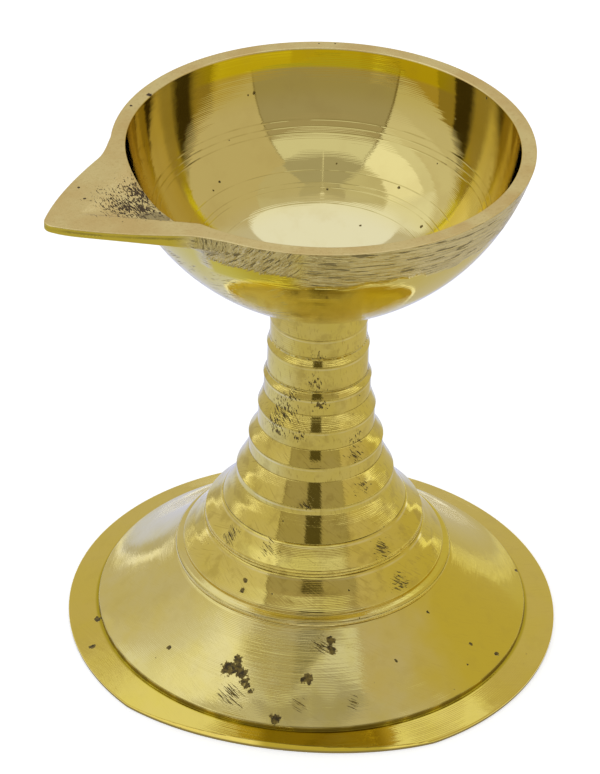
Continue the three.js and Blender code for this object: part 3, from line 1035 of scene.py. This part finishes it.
def growSpout(mesh, shape):
    cavity = rimRadius - shape["rimWall"]
    for point in mesh.verts:
        radius = math.hypot(point.co.x, point.co.y) / mm
        height = point.co.z / mm
        if radius < 1e-3:
            continue
        angle = math.atan2(point.co.y, -point.co.x)
        angle -= shape["crowding"] * math.sin(angle)
        edgeDrop = channelDrop(cavity * math.cos(angle), cavity * math.sin(angle))
        wall = between(outsideRadius, height)
        lining = between(insideRadius, height)
        if height < rimHeight - shape["spoutBand"]:
            pass  # stays round
        elif radius < lining + 0.02:  # lining of the bowl
            height -= edgeDrop * smoothStep(rimHeight - shape["spoutBand"], rimHeight, height)
            radius += between(insideRadius, height) - lining
        elif height > rimHeight - 0.5 and radius < wall - 0.3:  # top of the rim and the spout
            share = (radius - cavity) / shape["rimWall"]
            inner = between(insideRadius, rimHeight - edgeDrop)
            radius = inner + share * (between(planEdge, abs(angle)) - inner)
            height -= channelDrop(radius * math.cos(angle), radius * math.sin(angle))
        else:
            radius += spoutedRadius(height, angle) - wall
        point.co = Vector((-radius * math.cos(angle), radius * math.sin(angle), height)) * mm


bowlMesh = turn(bowlOutline(bowlShape), bowlShape["steps"])
growSpout(bowlMesh, bowlShape)
for face in bowlMesh.faces:
    middle = face.calc_center_median()
    inward = face.normal.x * middle.x + face.normal.y * middle.y
    if face.normal.z > 0.4 and middle.z > (rimHeight - 3) * mm and middle.xy.length > (rimRadius - 2.4) * mm:
        face.material_index = 1
    elif inward < 0 or face.normal.z > 0.3:
        face.material_index = 0
    else:
        face.material_index = 2
finishPiece(bowlMesh, "bowl_turned", "bowl", "bowl", [bowlLining, facedRim, filedBrass])

# Threaded stud

threadShape = {"steps": 64, "pitch": 1.25, "depth": 0.68, "crest": 0.16, "inset": 0.01}


def makeThread(shape):
    # one tooth wound up a helix, trimmed flat at both ends
    low, high = studLow.z / mm, studHigh.z / mm
    pitch, crest = shape["pitch"], studRadius - shape["inset"]
    root = crest - shape["depth"]
    flat = shape["crest"]
    tooth = [(root, 0), (root, flat), (crest, pitch / 2), (crest, pitch / 2 + flat), (root, pitch)]
    turns = math.ceil((high - low) / pitch) + 2
    mesh = bmesh.new()
    points = [mesh.verts.new((r * mm, 0, (low - pitch + z) * mm)) for r, z in tooth]
    edges = [mesh.edges.new(pair) for pair in zip(points, points[1:])]
    bmesh.ops.spin(
        mesh, geom=points + edges, cent=(0, 0, 0), axis=(0, 0, 1), dvec=(0, 0, pitch * mm / shape["steps"]),
        angle=2 * math.pi * turns, steps=shape["steps"] * turns, use_merge=False, use_duplicate=False,
    )
    bmesh.ops.remove_doubles(mesh, verts=mesh.verts, dist=1e-6)
    for height, up in ((low, -1), (high, 1)):
        everything = mesh.verts[:] + mesh.edges[:] + mesh.faces[:]
        cut = bmesh.ops.bisect_plane(
            mesh, geom=everything, plane_co=(0, 0, height * mm), plane_no=(0, 0, up), clear_outer=True,
        )
        rim = [part for part in cut["geom_cut"] if isinstance(part, bmesh.types.BMEdge)]
        bmesh.ops.contextual_create(mesh, geom=rim)
    bmesh.ops.recalc_face_normals(mesh, faces=mesh.faces)
    return mesh


finishPiece(makeThread(threadShape), "stud_thread", "bowl", "stud", [cutThread])

# Studio: a white floor in a tent, whose walls and lamps are fitted to the brass's reflections

studio = {
    "floorSize": 6.0,  # metres
    "floorColor": (0.9, 0.9, 0.9),
    "floorGlowColor": (0.86, 0.90, 1.0),
    "floorGlow": 0.62,  # lifts the floor to white for the camera, while the brass sees the cloths
    "world": 1.0,
    "tent": 0.95,  # distance of the tent's walls in metres
    "tentMiddle": 0.04,  # height that the tent's angles start from
    "cards": [  # name, from and to in degrees round from the camera, low and high, colour
        ("front_wall", (-43, 43), (1, 34), (0.40, 0.36, 0.27)),
        ("front_upper", (-43, 43), (34, 43), (0.42, 0.37, 0.28)),
        ("front_lamp", (-43, 43), (43, 59), (0.74, 0.75, 0.70)),
        ("left_wall", (-141, -43), (1, 23), (0.62, 0.58, 0.46)),
        ("left_middle", (-141, -43), (23, 35), (0.69, 0.66, 0.56)),
        ("left_step", (-108, -43), (35, 42), (0.78, 0.78, 0.72)),
        ("left_lamp", (-108, -43), (42, 61), (0.98, 1.0, 1.0)),
        ("left_back", (-141, -108), (35, 61), (0.86, 0.88, 0.90)),
        ("right_wall", (43, 141), (1, 61), (0.58, 0.52, 0.38)),
        ("front_roof", (-48, 48), (59, 80), (0.44, 0.42, 0.36)),
        ("left_roof", (-109, -48), (61, 80), (0.62, 0.60, 0.50)),
        ("right_roof", (48, 109), (61, 80), (0.57, 0.53, 0.42)),
        ("roof_middle", (-109, 109), (80, 89), (0.50, 0.47, 0.38)),
        ("back_wall", (141, 219), (1, 61), (0.62, 0.58, 0.48)),
        ("back_roof", (109, 251), (61, 89), (0.60, 0.57, 0.46)),
    ],
    "roundLamp": (0.8, 64.5, 0.39, 0.28, 183.5),  # distance, degrees up, half width and height, degrees round
    "roundLampColor": (0.92, 0.95, 1.0),
    "seams": [  # seams of the tent: from and to in degrees, low and high, colour
        ((-0.35, 0.35), (60, 88), (0.95, 0.95, 0.88)),
        ((-43.8, -42.6), (1, 59), (0.20, 0.16, 0.08)),
        ((42.8, 43.5), (1, 59), (0.26, 0.22, 0.12)),
    ],
    "lens": ((-13, 18), (22, 42), (0.06, 0.05, 0.03)),  # dark patch, seen after two reflections only
    "viewer": ((-12, 29), (10, 22), (0.27, 0.23, 0.12)),  # dim patch below it, seen the same way
    "flag": (0.1, 0.0165, 0.028, 0.078),  # black flag before the stem: distance, half width, low and high
    "flagColor": (0.10, 0.085, 0.04),
    "cloth": (0.036, 1.2),  # floor cloths that the brass sees: from and to in metres
    "clothFront": (0.55, 0.52, 0.42),
    "clothNear": (0.68, 0.72, 1.0),  # close by on the left
    "clothLeft": (0.56, 0.53, 0.44),
    "clothRight": (0.60, 0.56, 0.48),
    "clothBack": (0.68, 0.72, 1.0),
}


def glowing(name, color):
    material = bpy.data.materials.new(name)
    material.use_nodes = True
    shader = material.node_tree.nodes["Principled BSDF"]
    shader.inputs["Base Color"].default_value = (0, 0, 0, 1)
    shader.inputs["Specular IOR Level"].default_value = 0
    shader.inputs["Emission Color"].default_value = (*color, 1)
    shader.inputs["Emission Strength"].default_value = 1
    material.cycles.emission_sampling = "NONE"
    return material


def addStage(mesh, name, material):
    piece = addObject(mesh, name, [material])
    return piece


def makeCard(name, sides, heights, color, away):
    # an upright arc, spun round the lamp's axis
    mesh = bmesh.new()
    bearing = math.radians(cameraView["bearing"] + sides[0])
    points = []
    for i in range(9):
        rise = math.radians(heights[0] + (heights[1] - heights[0]) * i / 8)
        level = away * math.cos(rise)
        points.append(mesh.verts.new((level * math.cos(bearing), level * math.sin(bearing), away * math.sin(rise))))
    edges = [mesh.edges.new(pair) for pair in zip(points, points[1:])]
    bmesh.ops.spin(
        mesh, geom=points + edges, cent=(0, 0, 0), axis=(0, 0, 1),
        angle=math.radians(sides[1] - sides[0]), steps=max(2, round((sides[1] - sides[0]) / 4)),
        use_merge=False, use_duplicate=False,
    )
    bmesh.ops.translate(mesh, verts=mesh.verts, vec=(axisX * mm, 0, studio["tentMiddle"]))
    card = addStage(mesh, name, glowing(name, color))
    card.visible_camera = False
    return card


def makeRoundLamp(values):
    away, rise, halfWidth, halfHeight = values["roundLamp"][:4]
    mesh = bmesh.new()
    bmesh.ops.create_circle(mesh, cap_ends=True, segments=64, radius=1)
    bmesh.ops.scale(mesh, verts=mesh.verts, vec=(halfWidth, halfHeight, 1))
    bearing = math.radians(cameraView["bearing"] + values["roundLamp"][4])
    up = math.radians(rise)
    outward = Vector((math.cos(bearing) * math.cos(up), math.sin(bearing) * math.cos(up), math.sin(up)))
    bmesh.ops.rotate(mesh, verts=mesh.verts, cent=(0, 0, 0), matrix=outward.to_track_quat("-Z", "Y").to_matrix())
    bmesh.ops.translate(mesh, verts=mesh.verts, vec=outward * away + Vector((axisX * mm, 0, values["tentMiddle"])))
    lamp = addStage(mesh, "round_lamp", glowing("round_lamp", values["roundLampColor"]))
    lamp.visible_camera = False


def makeFloor(values):
    mesh = bmesh.new()
    bmesh.ops.create_grid(mesh, x_segments=1, y_segments=1, size=values["floorSize"] / 2)
    material = bpy.data.materials.new("floor_paper")
    material.use_nodes = True
    shader = material.node_tree.nodes["Principled BSDF"]
    shader.inputs["Base Color"].default_value = (*values["floorColor"], 1)
    shader.inputs["Roughness"].default_value = 0.9
    shader.inputs["Specular IOR Level"].default_value = 0
    shader.inputs["Emission Color"].default_value = (*values["floorGlowColor"], 1)
    glow = seenRays(material.node_tree, values["floorGlow"])
    material.node_tree.links.new(glow, shader.inputs["Emission Strength"])
    addStage(mesh, "floor", material)


def seenRays(tree, strength):
    # the given strength for camera, glossy and transmission rays, none for the rest
    path = put(tree, "LightPath").outputs
    seen = either(tree, path["Is Camera Ray"], path["Is Glossy Ray"])
    return times(tree, either(tree, seen, path["Is Transmission Ray"]), strength)


def onlyInBrass(piece):
    piece.visible_camera = False
    piece.visible_diffuse = False
    piece.visible_shadow = False


def makeFlag(values):
    # a narrow black flag that stands before the lamp, which only the brass sees
    away, half, low, high = values["flag"]
    mesh = bmesh.new()
    bearing = math.radians(cameraView["bearing"])
    middle = Vector((away * math.cos(bearing), away * math.sin(bearing), 0))
    side = Vector((-math.sin(bearing), math.cos(bearing), 0)) * half
    foot = [mesh.verts.new(middle - side), mesh.verts.new(middle + side)]
    made = bmesh.ops.extrude_edge_only(mesh, edges=[mesh.edges.new(foot)])["geom"]
    raised = [part for part in made if isinstance(part, bmesh.types.BMVert)]
    bmesh.ops.translate(mesh, verts=raised, vec=(0, 0, high - low))
    bmesh.ops.translate(mesh, verts=mesh.verts, vec=(axisX * mm, 0, low))
    onlyInBrass(addStage(mesh, "black_flag", glowing("black_flag", values["flagColor"])))


def makeCloth(values):
    # a glowing ring over the floor that only the brass sees, dimmer than the white floor: painted shade and tint of
    # the floor round the lamp, whose colour changes gently round it
    start, end = values["cloth"]
    mesh = bmesh.new()
    points = [mesh.verts.new((away, 0, 0.0003)) for away in (start, end)]
    bmesh.ops.spin(
        mesh, geom=points + [mesh.edges.new(points)], cent=(0, 0, 0), axis=(0, 0, 1),
        angle=2 * math.pi, steps=96, use_merge=True, use_duplicate=False,
    )
    bmesh.ops.translate(mesh, verts=mesh.verts, vec=(axisX * mm, 0, 0))
    material = glowing("floor_cloth", values["clothFront"])
    tree = material.node_tree
    place = put(tree, "TexCoord").outputs["Object"]
    bearing = math.radians(cameraView["bearing"])
    outward = put(tree, "VectorMath", {"operation": "NORMALIZE"}, i0=place).outputs[0]
    ahead = alongLine(tree, outward, (math.cos(bearing), math.sin(bearing), 0))
    right = alongLine(tree, outward, (-math.sin(bearing), math.cos(bearing), 0))
    radius = put(tree, "VectorMath", {"operation": "LENGTH"}, i0=place).outputs["Value"]
    color = blend(tree, ramp(tree, radius, 0.10, 0.06), values["clothLeft"], values["clothNear"])
    color = blend(tree, ramp(tree, right, -0.6, 0.6), color, values["clothRight"])
    color = blend(tree, ramp(tree, ahead, 0.2, 0.95), color, values["clothFront"])
    color = blend(tree, ramp(tree, ahead, -0.84, -0.88), color, values["clothBack"])
    tree.links.new(color, tree.nodes["Principled BSDF"].inputs["Emission Color"])
    onlyInBrass(addStage(mesh, "floor_cloth", material))


def showLateOnly(material):
    # see-through until a ray has met the brass twice
    tree = material.node_tree
    late = calc(tree, "GREATER_THAN", put(tree, "LightPath").outputs["Glossy Depth"], 1.5)
    tree.links.new(late, tree.nodes["Principled BSDF"].inputs["Alpha"])


def makeWorld(values):
    world = bpy.data.worlds.new("studio")
    scene.world = world
    world.use_nodes = True
    world.node_tree.nodes["Background"].inputs["Color"].default_value = (1, 1, 1, 1)
    world.node_tree.nodes["Background"].inputs["Strength"].default_value = values["world"]


makeFloor(studio)
for card in studio["cards"]:
    makeCard(*card, studio["tent"])
for seam in studio["seams"]:
    makeCard("tent_seam", *seam, studio["tent"] - 0.02)
for name in ("lens", "viewer"):
    card = makeCard(name, *studio[name], studio["tent"] - 0.05)
    onlyInBrass(card)
    showLateOnly(card.data.materials[0])
makeRoundLamp(studio)
makeFlag(studio)
makeCloth(studio)
makeWorld(studio)
print("studio set")
scene.view_settings.view_transform = "Standard"
